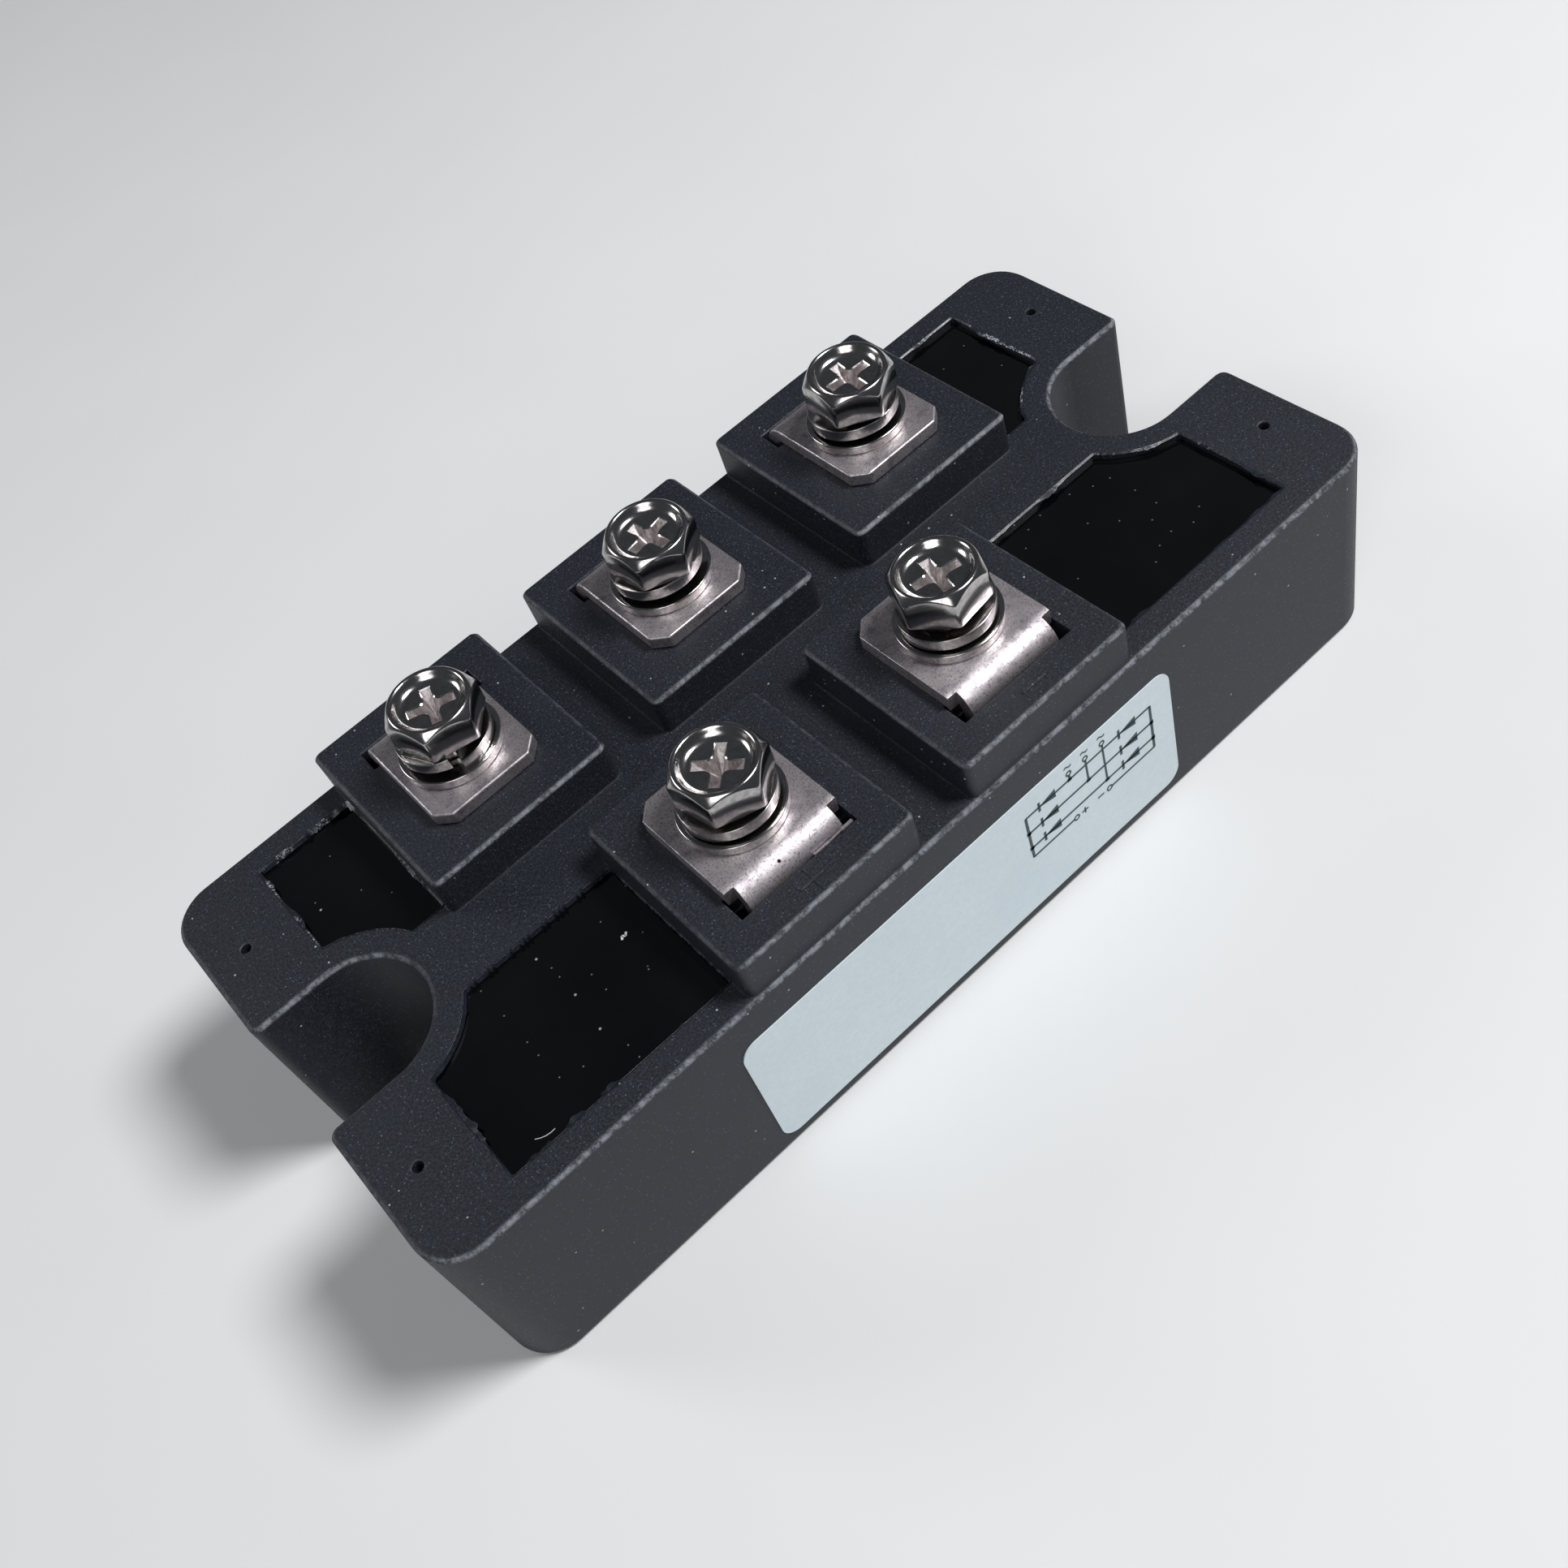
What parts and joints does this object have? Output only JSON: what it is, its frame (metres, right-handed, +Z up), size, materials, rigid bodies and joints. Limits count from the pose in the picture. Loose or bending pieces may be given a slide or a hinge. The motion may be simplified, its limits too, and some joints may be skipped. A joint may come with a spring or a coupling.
{
  "type": "three-phase bridge rectifier module",
  "caption": "Flat black power module with raised screw terminals, a notch at each end for the heatsink screws and a metal base plate underneath.",
  "frame": {"origin": "middle of the underside of the base plate", "axes": "+X along the length, -Y to the front wall with the label, +Y to the input terminals, +Z up from the heatsink face"},
  "size_m": [0.11, 0.0505, 0.0347],
  "materials": {
    "case": "moulded black glass-filled polyester, fine matte grain",
    "epoxy": "glossy black potting epoxy",
    "gel": "soft clear silicone gel",
    "base_plate": null,
    "terminal": "nickel-plated copper strip, satin",
    "copper": "bare copper",
    "silicon": "silicon die",
    "ceramic": "white alumina",
    "fastener": "bright nickel-plated steel",
    "label": "pale matte film label"
  },
  "bodies": {
    "root": {"case": "case", "base_plate": "base_plate", "ceramic": "ceramic", "plus_track": "copper", "minus_track": "copper", "minus_bar": "copper", "gel": "gel", "epoxy": "epoxy", "label": "label", "input_track_1": "copper", "plus_die_1": "silicon", "minus_die_1": "silicon", "strap_1": "copper", "input_track_2": "copper", "plus_die_2": "silicon", "minus_die_2": "silicon", "strap_2": "copper", "input_track_3": "copper", "plus_die_3": "silicon", "minus_die_3": "silicon", "strap_3": "copper", "input_1_terminal": "terminal", "input_1_nut": "fastener", "input_1_washer": "fastener", "input_1_spring_washer": "fastener", "input_1_screw": "fastener", "input_2_terminal": "terminal", "input_2_nut": "fastener", "input_2_washer": "fastener", "input_2_spring_washer": "fastener", "input_2_screw": "fastener", "input_3_terminal": "terminal", "input_3_nut": "fastener", "input_3_washer": "fastener", "input_3_spring_washer": "fastener", "input_3_screw": "fastener", "plus_terminal": "terminal", "plus_nut": "fastener", "plus_washer": "fastener", "plus_spring_washer": "fastener", "plus_screw": "fastener", "minus_terminal": "terminal", "minus_nut": "fastener", "minus_washer": "fastener", "minus_spring_washer": "fastener", "minus_screw": "fastener"}
  },
  "joints": []
}
